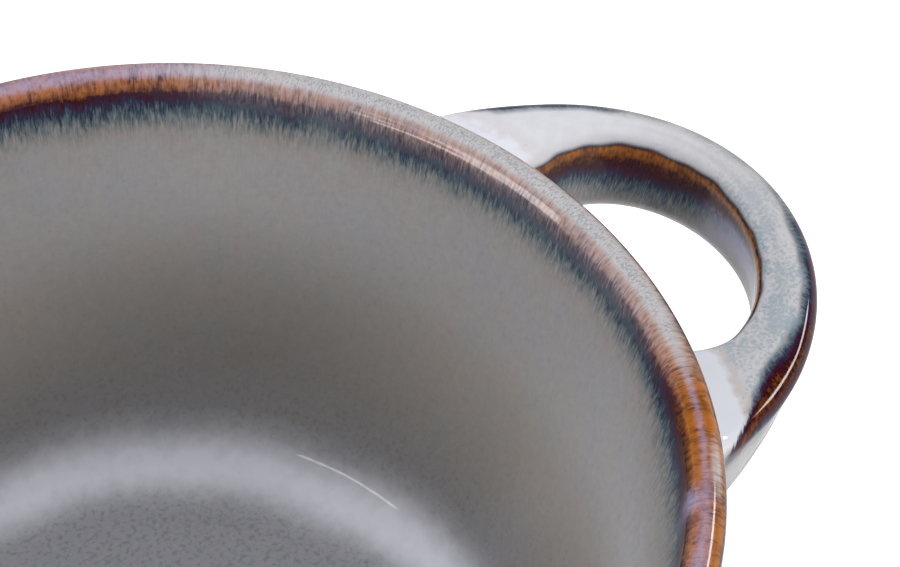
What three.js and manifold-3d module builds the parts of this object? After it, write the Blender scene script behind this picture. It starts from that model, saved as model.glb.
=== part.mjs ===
// An open stoneware soup bowl with a full-round rim, a turned foot ring and a loop handle on each side.
// Millimetres, +Z up. The origin is the middle of the foot's resting face, and the handles lie along X.
import * as THREE from "three";
import { mergeVertices } from "three/addons/utils/BufferGeometryUtils.js";
import Module from "manifold-3d";

const wasm = await Module();
wasm.setup();

// Bowl
const rimDiameter = 140; // over the outside of the rim
const rimThickness = 5; // the rim is a full round of this diameter
const bowlHeight = 61; // table to the rim's crest
const floorThickness = 5.4; // between the inside floor and the underside
const wallRadius = 150; // the gentle bow of the wall, seen in section
const coveRadius = 11; // inside round from the floor to the wall
const shoulderRadius = 14; // outside round from the underside to the wall
const floorInset = 2; // the flat of the floor is this much smaller in radius than the foot

// Foot ring
const footDiameter = 76;
const footHeight = 4.5;
const footWidth = 5;
const footEdge = 0.9; // chamfer on the two edges of the resting face

// Handles
const handleReach = 26.3; // from the rim's outside to the handle's outside
const handleDrop = 9.1; // from the rim's crest to the handle's top
const handleHeight = 12;
const handleLean = 1.6; // how far the bottom of the handle is drawn in towards the bowl
const handleTopEdge = 1.9; // radius of the two upper edges
const handleBottomEdge = 2.8; // radius of the two lower edges
const handleSpread = 68.8; // the outer loop's full width, along Y
const outerLoopSetback = 12.8; // the outer loop's middle lies this far inside the rim's outside
const fingerDepth = 19.9; // from the rim's outside to the handle's inner face
const fingerWidth = 37.8; // the finger gap's full width, along Y
const fingerSetout = 4.8; // the finger gap's middle lies this far outside the rim's outside
const rootFlare = 1.7; // what a handle's root gains in height above and below where it meets the wall

// Luted joints: the handles were stuck on with slip while the clay was leather-hard
const slipThickness = 0.9;
const slipBead = 0.8; // how far the slip squeezed out round a root
const seatGap = 0.3; // clearance on each side of the slip

// Fineness
const turnSteps = 64; // round the bowl
const wallSteps = 6; // on the wall's two arcs and the outer half of the rim, in section
const coveSteps = 5; // on the cove, the shoulder and the inner half of the rim, in section
const loopSteps = 44; // along a handle
const cornerSteps = 4; // on each edge of a handle
const weldDistance = 1e-4; // points nearer than this are one

// How far round each loop ellipse a handle runs before its ends are well inside the wall
const outerSweep = THREE.MathUtils.degToRad(105);
const innerSweep = THREE.MathUtils.degToRad(160);
// The roots flare between these shares of the way from the handle's tip to its buried ends
const flareFromShare = 0.5;
const flareToShare = 0.85;
// A root's slip is cut from the stretch of the handle beyond this share
const rootFromShare = 0.4;

const glaze = new THREE.MeshStandardMaterial({ color: 0xb9b3aa, roughness: 0.12, metalness: 0 });
const bareClay = new THREE.MeshStandardMaterial({ color: 0xc9ae8c, roughness: 0.85, metalness: 0 });
const slip = new THREE.MeshStandardMaterial({ color: 0xd6d2cc, roughness: 0.3, metalness: 0 });

// Sizes that follow
const rimRadius = rimDiameter / 2;
const roundRadius = rimThickness / 2;
const footRadius = footDiameter / 2;
const floorHeight = footHeight + floorThickness;
const handleTop = bowlHeight - handleDrop;
const handleBottom = handleTop - handleHeight;
const outerWallRadius = wallRadius + rimThickness;

// Centres of the section's rounds, as radius and height
const rimCentre = new THREE.Vector2(rimRadius - roundRadius, bowlHeight - roundRadius);
const coveCentre = new THREE.Vector2(footRadius - floorInset, floorHeight + coveRadius);
const shoulderCentre = new THREE.Vector2(footRadius, footHeight + shoulderRadius);

// The point at two given distances from a and b, on the left of the way from a to b.
function pointAtDistances(a, fromA, b, fromB) {
  const way = b.clone().sub(a);
  const length = way.length();
  way.divideScalar(length);
  const along = (length ** 2 + fromA ** 2 - fromB ** 2) / (2 * length);
  const aside = Math.sqrt(fromA ** 2 - along ** 2);
  const left = new THREE.Vector2(-way.y, way.x);
  return a.clone().addScaledVector(way, along).addScaledVector(left, aside);
}

// The wall's two arcs touch the rim's round and the round below it, so their centres follow from the radii.
const insideCentre = pointAtDistances(
  coveCentre,
  wallRadius - coveRadius,
  rimCentre,
  wallRadius + roundRadius,
);
const outsideCentre = pointAtDistances(
  shoulderCentre,
  outerWallRadius - shoulderRadius,
  rimCentre,
  outerWallRadius - roundRadius,
);

// Points on an arc from one angle to another, both ends included.
function arc(centre, radius, from, to, steps) {
  return Array.from({ length: steps + 1 }, (_, i) => {
    const angle = THREE.MathUtils.lerp(from, to, i / steps);
    return new THREE.Vector2(radius * Math.cos(angle), radius * Math.sin(angle)).add(centre);
  });
}

function direction(from, to) {
  return to.clone().sub(from).angle();
}

const DOWN = 1.5 * Math.PI;
const UP = 2.5 * Math.PI;
const insideFoot = direction(insideCentre, coveCentre);
const insideTop = direction(insideCentre, rimCentre);
const outsideFoot = direction(outsideCentre, shoulderCentre);
const outsideTop = direction(outsideCentre, rimCentre);

// The inside of the bowl in section, from the floor's edge up to the rim's round.
function insideSection() {
  return [
    ...arc(coveCentre, coveRadius, DOWN, insideFoot, coveSteps),
    ...arc(insideCentre, wallRadius, insideFoot, insideTop, wallSteps).slice(1),
  ];
}

// The outside in section, from the rim's crest down to the underside, grown by an offset.
function outsideSection(offset) {
  return [
    ...arc(rimCentre, roundRadius + offset, UP, outsideTop, wallSteps),
    ...arc(outsideCentre, outerWallRadius + offset, outsideTop, outsideFoot, wallSteps).slice(1),
    ...arc(shoulderCentre, shoulderRadius + offset, outsideFoot, DOWN, coveSteps).slice(1),
  ];
}

// A turned body from a section of radius and height.
function turned(section) {
  return new THREE.LatheGeometry(section, turnSteps).rotateX(Math.PI / 2);
}

function bowlGeometry() {
  const innerRim = arc(rimCentre, roundRadius, insideTop + Math.PI, UP, coveSteps).slice(1, -1);
  return turned([
    new THREE.Vector2(0, floorHeight),
    ...insideSection(),
    ...innerRim,
    ...outsideSection(0),
    new THREE.Vector2(0, footHeight),
  ].reverse());
}

function footGeometry() {
  const inner = footRadius - footWidth;
  const section = [
    new THREE.Vector2(inner + footEdge, 0),
    new THREE.Vector2(footRadius - footEdge, 0),
    new THREE.Vector2(footRadius, footEdge),
    new THREE.Vector2(footRadius, footHeight),
    new THREE.Vector2(inner, footHeight),
    new THREE.Vector2(inner, footEdge),
  ];
  return turned([...section, section[0].clone()]);
}

// The bowl's outside as a filled body, grown by an offset, to cut the handles and their slip.
function filledBowl(offset) {
  return solid(turned([
    new THREE.Vector2(0, bowlHeight + offset),
    ...outsideSection(offset),
    new THREE.Vector2(0, footHeight - offset),
  ].reverse()));
}

// A closed geometry as a manifold solid.
function solid(geometry) {
  geometry.deleteAttribute("normal");
  geometry.deleteAttribute("uv");
  const merged = mergeVertices(geometry, weldDistance);
  const corners = merged.index.array;
  const triVerts = [];
  for (let i = 0; i < corners.length; i += 3) {
    const [a, b, c] = [corners[i], corners[i + 1], corners[i + 2]];
    if (a !== b && b !== c && c !== a) triVerts.push(a, b, c);
  }
  return new wasm.Manifold(new wasm.Mesh({
    numProp: 3,
    vertProperties: merged.attributes.position.array,
    triVerts: new Uint32Array(triVerts),
  }));
}

// A manifold solid back as a geometry.
function geometryOf(manifold) {
  const mesh = manifold.getMesh();
  const geometry = new THREE.BufferGeometry();
  geometry.setAttribute("position", new THREE.BufferAttribute(mesh.vertProperties, 3));
  geometry.setIndex(new THREE.BufferAttribute(mesh.triVerts, 1));
  geometry.computeVertexNormals();
  return geometry;
}

// A closed body through rings of equally many points, with a flat face at each end.
function loft(rings) {
  const count = rings[0].length;
  const geometry = new THREE.BufferGeometry().setFromPoints(rings.flat());
  const index = [];
  for (let i = 0; i + 1 < rings.length; i += 1) {
    for (let j = 0; j < count; j += 1) {
      const a = i * count + j;
      const b = i * count + ((j + 1) % count);
      index.push(a, a + count, b, b, a + count, b + count);
    }
  }
  const last = (rings.length - 1) * count;
  for (let j = 1; j + 1 < count; j += 1) {
    index.push(0, j, j + 1);
    index.push(last, last + j + 1, last + j);
  }
  geometry.setIndex(index);
  return geometry;
}

// A point on an ellipse round a middle on the X axis.
function loopPoint(middle, semiX, semiY, angle) {
  return new THREE.Vector2(middle + semiX * Math.cos(angle), semiY * Math.sin(angle));
}

// The handle's inner and outer faces in plan, at a place along it: 0 is the tip, and -1 and 1 are its ends
// inside the wall. drawnIn moves both faces towards the bowl, and grown makes the handle stouter.
function facesAt(place, drawnIn, grown) {
  const outerMiddle = rimRadius - outerLoopSetback;
  const fingerMiddle = rimRadius + fingerSetout;
  const outer = loopPoint(
    outerMiddle,
    rimRadius + handleReach - outerMiddle - drawnIn + grown,
    handleSpread / 2 - drawnIn + grown,
    place * outerSweep,
  );
  const inner = loopPoint(
    fingerMiddle,
    rimRadius + fingerDepth - fingerMiddle - drawnIn - grown,
    fingerWidth / 2 - drawnIn - grown,
    place * innerSweep,
  );
  return { inner, across: outer.clone().sub(inner).normalize(), width: outer.distanceTo(inner) };
}

// The handle's section at a place along it, as a ring of points with four rounded edges.
function handleRing(place, grown) {
  const flare = rootFlare * THREE.MathUtils.smoothstep(Math.abs(place), flareFromShare, flareToShare) + grown;
  const upper = facesAt(place, 0, grown);
  const lower = facesAt(place, handleLean, grown);
  const topCentre = handleTop + flare - handleTopEdge;
  const bottomCentre = handleBottom - flare + handleBottomEdge;
  const edges = [
    [upper, upper.width - handleTopEdge, topCentre, handleTopEdge],
    [upper, handleTopEdge, topCentre, handleTopEdge],
    [lower, handleBottomEdge, bottomCentre, handleBottomEdge],
    [lower, lower.width - handleBottomEdge, bottomCentre, handleBottomEdge],
  ];
  return edges.flatMap(([faces, out, height, radius], quarter) => {
    const start = (quarter * Math.PI) / 2;
    const round = arc(new THREE.Vector2(out, height), radius, start, start + Math.PI / 2, cornerSteps);
    return round.map((point) => {
      const plan = faces.inner.clone().addScaledVector(faces.across, point.x);
      return new THREE.Vector3(plan.x, plan.y, point.y);
    });
  });
}

function handleLoft(from, to, steps, grown) {
  const rings = Array.from({ length: steps + 1 }, (_, i) =>
    handleRing(THREE.MathUtils.lerp(from, to, i / steps), grown),
  );
  return solid(loft(rings));
}

function handleGeometry() {
  const seat = filledBowl(2 * seatGap + slipThickness);
  return geometryOf(handleLoft(-1, 1, loopSteps, 0).subtract(seat));
}

// The slip under one root: a thin skin over the wall, a little larger than the root. side is -1 or 1 along Y.
function slipGeometry(side) {
  const steps = Math.round((loopSteps / 2) * (1 - rootFromShare));
  const [from, to] = side > 0 ? [rootFromShare, 1] : [-1, -rootFromShare];
  const skin = filledBowl(seatGap + slipThickness).subtract(filledBowl(seatGap));
  return geometryOf(handleLoft(from, to, steps, slipBead).intersect(skin));
}

function piece(name, geometry, material) {
  const mesh = new THREE.Mesh(geometry, material);
  mesh.name = name;
  return mesh;
}

// One handle on +X with the slip under its two roots, named from the root on -Y.
function handleSet(label, roots) {
  const set = new THREE.Group();
  set.add(
    piece(`handle_${label}`, handleGeometry(), glaze),
    piece(`luting_slip_${label}_${roots[0]}`, slipGeometry(-1), slip),
    piece(`luting_slip_${label}_${roots[1]}`, slipGeometry(1), slip),
  );
  return set;
}

const bowl = new THREE.Group();
bowl.add(piece("bowl_body", bowlGeometry(), glaze));
bowl.add(piece("foot_ring", footGeometry(), bareClay));

const rightHandle = handleSet("right", ["front", "back"]);
const leftHandle = handleSet("left", ["back", "front"]);
leftHandle.rotation.z = Math.PI;
bowl.add(rightHandle, leftHandle);

export default bowl;
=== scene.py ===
"""An open stoneware bowl with a loop handle on each side, in a glossy glaze that breaks from grey to amber.

Run as a script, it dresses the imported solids. The bowl and its foot ring are turned on a Geometry Nodes
wheel, the two handles are drawn out of the wall, and the stage is a plain pale table. Lengths are in metres.
"""

import math
from types import SimpleNamespace

import bmesh
import bpy
import numpy as np
from bpy.props import FloatProperty, FloatVectorProperty, IntProperty, PointerProperty
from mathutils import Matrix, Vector


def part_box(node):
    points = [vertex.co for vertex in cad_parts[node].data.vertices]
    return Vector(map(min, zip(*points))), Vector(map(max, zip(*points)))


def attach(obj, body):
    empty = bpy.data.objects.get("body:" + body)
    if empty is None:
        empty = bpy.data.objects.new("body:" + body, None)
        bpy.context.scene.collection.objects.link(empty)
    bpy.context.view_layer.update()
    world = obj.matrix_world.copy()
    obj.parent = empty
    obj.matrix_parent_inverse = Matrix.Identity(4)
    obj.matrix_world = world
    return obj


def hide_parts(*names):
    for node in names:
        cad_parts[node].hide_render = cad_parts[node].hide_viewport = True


bl_info = {
    "name": "Two-handled glazed bowl",
    "version": (1, 0, 0),
    "blender": (4, 5, 0),
    "location": "View3D > Sidebar > Bowl",
    "description": "Turns a stoneware bowl, draws out its two loop handles and glazes them",
    "category": "Add Mesh",
}

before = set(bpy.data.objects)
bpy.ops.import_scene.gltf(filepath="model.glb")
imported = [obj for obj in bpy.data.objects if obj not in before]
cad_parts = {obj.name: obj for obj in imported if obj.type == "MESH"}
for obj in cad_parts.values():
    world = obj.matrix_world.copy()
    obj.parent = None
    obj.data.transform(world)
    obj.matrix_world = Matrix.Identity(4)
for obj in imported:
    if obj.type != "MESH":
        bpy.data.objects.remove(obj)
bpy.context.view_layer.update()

BOWL_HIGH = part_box("bowl_body")[1]
FOOT_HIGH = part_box("foot_ring")[1]
HANDLE_LOW, HANDLE_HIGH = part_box("handle_right")

MM = 0.001
# The node tree that turns the sections, and the layer of a turned piece that holds the way from the crest
WHEEL_TREE = "Turned on the wheel"
CREST_LAYER = "crest_distance"
# Points that lie nearer to each other than this are merged
MERGE_DISTANCE = 1e-6

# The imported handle's roots stand this far above its stem
ROOT_FLARE = 0.0017
# The glazed stem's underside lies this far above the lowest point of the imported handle, which is at its roots
STEM_RISE = 0.0009

# Points along the flats and the lip, and steps along the other rounds, of the two turned sections
BOWL_STEPS = SimpleNamespace(
    floor=20, cove=20, inside=72, lip=41, crest=26, outside=76, shoulder=20, underside=16
)
FOOT_STEPS = SimpleNamespace(edge=8, rest=24, outside=40, top=12, inside=16)
# The lip's flat is centred here on the rim's round, and fades out this far to each side
LIP_FLAT_AT = math.radians(143)
LIP_FLAT_REACH = math.radians(22)
# Turning grooves on the outside of the foot ring
GROOVES = 7
GROOVE_DEPTH = 0.06 * MM

# The handles run this far round their two loop ellipses before they are well inside the wall
OUTER_SWEEP = math.radians(105)
FINGER_SWEEP = math.radians(160)
# The finger gap's skew fades out between these turns round its ellipse
SKEW_FADE = math.radians(75)
SKEW_END = math.radians(100)
# A root gains its flare above, and its heel below, between these shares of the way from tip to buried end
FLARE_FROM = 0.5
FLARE_TO = 0.85
HEEL_FROM = 0.58
HEEL_TO = 0.84
# Steps of a ring round the handle: over an edge, across the top or the underside, and down a face
EDGE_STEPS = 10
TOP_STEPS = 8
FACE_STEPS = 12
# Steps along the stem, whose spacing follows a sine up to this turn, and along the round of a root
STEM_STEPS = 132
STEM_TURN = 0.8 * math.pi / 2
ROOT_STEPS = 18
# Places along the handle at which its lines are traced, to find the roots and to draw the surface
ROOT_PLACES = 801
TRACE_PLACES = 1601
# A root's round leaves the stem this many times its own size away from the wall
ROUND_START = 1.15
# The stem's way into a root is taken over this share of its length
TANGENT_STEP = 0.002
# Past its round, a root is tucked into the wall in two steps of reach and depth
TUCK = ((0.4 * MM, -0.03 * MM), (0.2 * MM, -0.6 * MM))

# Streaks in the glaze are this many times as long as they are wide
FLOW_STRETCH = 5.0
# Iron specks in the glaze, and the grain and iron specks of the bare clay
GLAZE_IRON = (0.10, 0.065, 0.045)
CLAY_GRAIN = (0.30, 0.19, 0.11)
CLAY_IRON = (0.09, 0.05, 0.03)

TABLE_RADIUS = 6
TABLE_SIDES = 64
# The table glows less inside the first of these distances from the bowl's axis, as painted shade under the
# bowl, and fully outside the second
GLOW_FROM = 0.055
GLOW_TO = 0.095
SENSOR_WIDTH = 36
LAMP_DISTANCE = 1.2
# Watts that each square metre of a lamp needs to show as bright as a white sheet
LAMP_WATTS = 4
COOL_LIGHT = (0.93, 0.94, 1.0)
NEUTRAL_LIGHT = (1.0, 0.985, 0.97)


def length_property(name, default, description):
    return FloatProperty(name=name, description=description, default=default, unit="LENGTH")


def colour_property(name, default, description):
    return FloatVectorProperty(name=name, description=description, default=default, subtype="COLOR")


class BowlSizes(bpy.types.PropertyGroup):
    """Sizes of the bowl and its foot ring, which are turned."""

    rim_radius: length_property("Rim radius", BOWL_HIGH.x, "From the axis to the outside of the rim")
    rim_thickness: length_property("Rim thickness", 0.005, "Diameter of the rim's full round")
    height: length_property("Height", BOWL_HIGH.z, "From the table to the rim's crest")
    floor_thickness: length_property(
        "Floor thickness", 0.0054, "Between the inside floor and the underside"
    )
    lip_flat: length_property("Lip flat", 0.00009, "How much the rim is flattened on its inner shoulder")
    wall_bow: length_property("Wall bow", 0.150, "Radius of the inside wall's gentle bow in section")
    cove_radius: length_property("Cove radius", 0.011, "Inside round from the floor to the wall")
    shoulder_radius: length_property(
        "Shoulder radius", 0.014, "Outside round from the underside to the wall"
    )
    floor_inset: length_property(
        "Floor inset", 0.002, "How much smaller the flat of the floor is than the foot"
    )
    foot_radius: length_property(
        "Foot radius", FOOT_HIGH.x, "From the axis to the outside of the foot ring"
    )
    foot_height: length_property("Foot height", FOOT_HIGH.z, "From the table to the underside")
    foot_width: length_property("Foot width", 0.005, "Across the foot ring's resting face")
    foot_edge: length_property("Foot edge", 0.0009, "Round on the two edges of the resting face")
    turn_steps: IntProperty(name="Turn steps", description="Steps round the bowl", default=320, min=24)


class HandleSizes(bpy.types.PropertyGroup):
    """Sizes of one loop handle and of the rounds at its roots."""

    reach: length_property(
        "Reach", HANDLE_HIGH.x - BOWL_HIGH.x, "From the rim's outside to the handle's outside"
    )
    top: length_property("Top", HANDLE_HIGH.z - ROOT_FLARE, "From the table to the handle's top")
    bottom: length_property("Bottom", HANDLE_LOW.z + STEM_RISE, "From the table to the handle's underside")
    lean: length_property("Lean", 0.0013, "How far the inner face is drawn in at its foot")
    outer_lean: length_property("Outer lean", 0.0023, "How far the outer face is drawn in at its foot")
    crown: length_property("Crown", 0.00025, "Rise of the top between its edges")
    top_edge: length_property("Top edge", 0.0019, "Radius of the two upper edges")
    bottom_edge: length_property("Bottom edge", 0.0034, "Radius of the two lower edges")
    spread: length_property("Spread", 0.0688, "Full width of the outer loop")
    setback: length_property(
        "Setback", 0.0128, "How far the outer loop's middle lies inside the rim's outside"
    )
    finger_depth: length_property(
        "Finger depth", 0.0199, "From the rim's outside to the handle's inner face"
    )
    finger_width: length_property("Finger width", 0.0378, "Full width of the finger gap")
    finger_setout: length_property(
        "Finger setout", 0.0048, "How far the finger gap's middle lies outside the rim's outside"
    )
    skew: length_property(
        "Skew", 0.0008, "How much fuller the finger gap's upper edge is behind than in front"
    )
    flare: length_property("Root flare", ROOT_FLARE, "What a root gains in height above")
    heel: length_property("Heel", 0.0029, "What a root gains in height below")
    valley: length_property("Valley", 0.0032, "Round from a root's top up to the rim")
    chin: length_property("Chin", 0.0028, "Round from a root's underside to the wall")
    finger_round_front: length_property(
        "Front finger round", 0.0014, "Round from the front root to the wall inside the finger gap"
    )
    finger_round_back: length_property(
        "Back finger round", 0.0045, "Round from the back root to the wall inside the finger gap"
    )
    flank_round: length_property("Flank round", 0.003, "Round from a root's outer side to the wall")


class GlazeLook(bpy.types.PropertyGroup):
    """Colours of the glaze from thick to thin, and of the bare clay."""

    pool: colour_property("Pool", (0.62, 0.63, 0.665), "Thick white glaze in the valleys")
    # The cove colour is thick white glaze with painted sheen: round the floor and on the handles' tops it also
    # stands in for light and reflection
    cove: colour_property(
        "Cove", (0.87, 0.88, 0.93), "Thick white glaze round the floor and on the handles' tops"
    )
    cream: colour_property("Cream", (0.47, 0.42, 0.385), "Warm edge of the pools")
    # On the handles' tops the milk also stands in for part of the light that falls there
    milk: colour_property("Milk", (0.50, 0.485, 0.48), "Pale bloom over thin glaze")
    # The haze colour is partly painted highlight: along the rim's crest it stands in for the lamps' reflection,
    # and low on the handles' inner faces for the table's reflection; the run down the inside is lavender glaze
    haze_and_sheen: colour_property(
        "Haze", (0.375, 0.365, 0.55), "Lavender haze along the rim's crest and on the handles"
    )
    body: colour_property("Body", (0.316, 0.305, 0.310), "Even glaze on the wall")
    # Painted shade tint: this warm colour stands in for the warm light bounced into the near rim's shadow low
    # on the wall
    shade_warmth: colour_property("Warm tint", (0.97, 0.93, 0.835), "Warmer tint of the glaze low on the wall")
    speck: colour_property("Speck", (0.07, 0.11, 0.15), "Blue specks")
    dapple: colour_property(
        "Dapple", (0.19, 0.27, 0.31), "Soft blue-grey flecks on the handles and the floor"
    )
    teal: colour_property("Teal", (0.075, 0.106, 0.126), "First streaks where it thins")
    navy: colour_property("Navy", (0.016, 0.025, 0.058), "Darkest blue of the fringe")
    plum: colour_property("Plum", (0.042, 0.006, 0.024), "Between blue and brown")
    oxblood: colour_property("Oxblood", (0.031, 0.002, 0.002), "Dark red-brown next to the amber")
    amber: colour_property("Amber", (0.36, 0.116, 0.013), "Thinnest glaze on the edges")
    clay: colour_property("Clay", (0.56, 0.41, 0.28), "Unglazed stoneware")
    roughness: FloatProperty(
        name="Roughness", description="Roughness of the glaze", subtype="FACTOR", default=0.07, min=0, max=1
    )


class StageLook(bpy.types.PropertyGroup):
    """Camera and table."""

    aim: FloatVectorProperty(
        name="Aim",
        description="Point that the camera looks at",
        subtype="TRANSLATION",
        default=(0.0489, 0.00463, 0.0585),
    )
    camera_azimuth: FloatProperty(
        name="Camera azimuth", description="0 looks along +Y", subtype="ANGLE", default=math.radians(-37.22)
    )
    camera_elevation: FloatProperty(
        name="Camera elevation",
        description="Above the horizon",
        subtype="ANGLE",
        default=math.radians(49.733),
    )
    camera_distance: length_property("Camera distance", 0.75534, "From the camera to the aim")
    lens: FloatProperty(name="Lens", description="Focal length in millimetres", default=240)
    table: colour_property("Table", (0.86, 0.86, 0.87), "Colour of the table")
    table_glow: FloatProperty(
        name="Table glow", description="Light that comes through the table", default=0.55
    )


# Shapes shared by the pieces


def smoothstep(low, high, value):
    """0 below low, 1 above high and smooth between them; low may be the larger."""
    share = np.clip((value - low) / (high - low), 0, 1)
    return share * share * (3 - 2 * share)


def direction(start, end):
    """The angle in section of the way from one point to another."""
    return math.atan2(end[1] - start[1], end[0] - start[0])


def meeting_point(a, from_a, b, from_b):
    """The point at two given distances from a and b, on the left of the way from a to b."""
    way = b - a
    length = np.linalg.norm(way)
    way = way / length
    along = (length**2 + from_a**2 - from_b**2) / (2 * length)
    aside = math.sqrt(from_a**2 - along**2)
    return a + along * way + aside * np.array([-way[1], way[0]])


def bowl_profile(sizes):
    """Where the rounds and arcs of the bowl's section lie, as radius and height."""
    bead = sizes.rim_thickness / 2
    floor = sizes.foot_height + sizes.floor_thickness
    rim = np.array([sizes.rim_radius - bead, sizes.height - bead])
    cove = np.array([sizes.foot_radius - sizes.floor_inset, floor + sizes.cove_radius])
    shoulder = np.array([sizes.foot_radius, sizes.foot_height + sizes.shoulder_radius])
    outer_bow = sizes.wall_bow + sizes.rim_thickness
    inside = meeting_point(cove, sizes.wall_bow - sizes.cove_radius, rim, sizes.wall_bow + bead)
    outside = meeting_point(shoulder, outer_bow - sizes.shoulder_radius, rim, outer_bow - bead)
    outside_foot = direction(outside, shoulder)
    outside_top = direction(outside, rim)
    wall_climb = outer_bow * (outside_top - outside_foot)
    return SimpleNamespace(
        bead=bead,
        floor=floor,
        rim=rim,
        cove=cove,
        shoulder=shoulder,
        inside=inside,
        outside=outside,
        outer_bow=outer_bow,
        inside_foot=direction(inside, cove),
        inside_top=direction(inside, rim),
        outside_foot=outside_foot,
        outside_top=outside_top,
        wall_climb=wall_climb,
        crest_climb=wall_climb + bead * (math.pi / 2 - outside_top),
    )


def wall_place(profile, points):
    """Azimuth, way up the outside in section and distance from the outside, for points near it."""
    section = np.stack([np.hypot(points[..., 0], points[..., 1]), points[..., 2]], -1)
    azimuth = np.arctan2(points[..., 1], points[..., 0])
    from_wall = section - profile.outside
    from_rim = section - profile.rim
    wall_angle = np.arctan2(from_wall[..., 1], from_wall[..., 0])
    rim_angle = np.arctan2(from_rim[..., 1], from_rim[..., 0])
    on_rim = wall_angle > profile.outside_top
    climb = np.where(
        on_rim,
        profile.wall_climb + profile.bead * (rim_angle - profile.outside_top),
        profile.outer_bow * (wall_angle - profile.outside_foot),
    )
    stand_off = np.where(
        on_rim,
        np.linalg.norm(from_rim, axis=-1) - profile.bead,
        np.linalg.norm(from_wall, axis=-1) - profile.outer_bow,
    )
    return azimuth, climb, stand_off


def wall_point(profile, azimuth, climb, stand_off):
    """The point at a place that wall_place gives."""
    on_rim = climb > profile.wall_climb
    angle = np.where(
        on_rim,
        profile.outside_top + (climb - profile.wall_climb) / profile.bead,
        profile.outside_foot + climb / profile.outer_bow,
    )
    reach = np.where(on_rim, profile.bead, profile.outer_bow) + stand_off
    centre = np.where(on_rim[..., None], profile.rim, profile.outside)
    radius = centre[..., 0] + reach * np.cos(angle)
    height = centre[..., 1] + reach * np.sin(angle)
    return np.stack([radius * np.cos(azimuth), radius * np.sin(azimuth), height], -1)


# How the glaze lies, in layers of a value for each point. break is 0 where it is thick and 1 where it has run
# thin. milk is the pale bloom over it, on the handles' tops partly painted light, haze_and_sheen the lavender
# film, partly painted highlight along the crest and painted reflection low on the handles' inner faces, pool
# the white in the valleys, cove the white glaze round the floor and on the handles' tops with painted sheen for
# the light that falls there, speckle how thickly the blue specks are sown, dapple the soft blue-grey flecks and
# shade_warmth the painted warm tint of the bounced light in the shade low on the wall. Courses run over
# millimetres, and turns are in degrees from the middle of the nearer handle. Spots go from a handle's tip at 0
# to its front end at -1 and its back end at 1.


def waver(angle, counts, size):
    """A gentle unevenness of several waves that closes on itself, with phases that keep the waves apart."""
    return size * sum(np.sin(n * angle + 1.7 * n * n) for n in counts) / len(counts)


def course(value, *stops):
    """A smooth course through stops of a distance in millimetres and a value."""
    places, values = np.array(stops).T
    spread = 0.12
    return sum(np.interp(value / MM + k * spread, places, values) for k in (-2, -1, 0, 1, 2)) / 5


def hump(value, middle, width):
    """1 at the middle, falling away smoothly to both sides."""
    return np.exp(-(((value - middle) / width) ** 2))


def to_handle(azimuth):
    """Azimuth in degrees from the middle of the nearer handle, alike on both."""
    return np.degrees(np.mod(azimuth + math.pi / 2, math.pi) - math.pi / 2)


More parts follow.
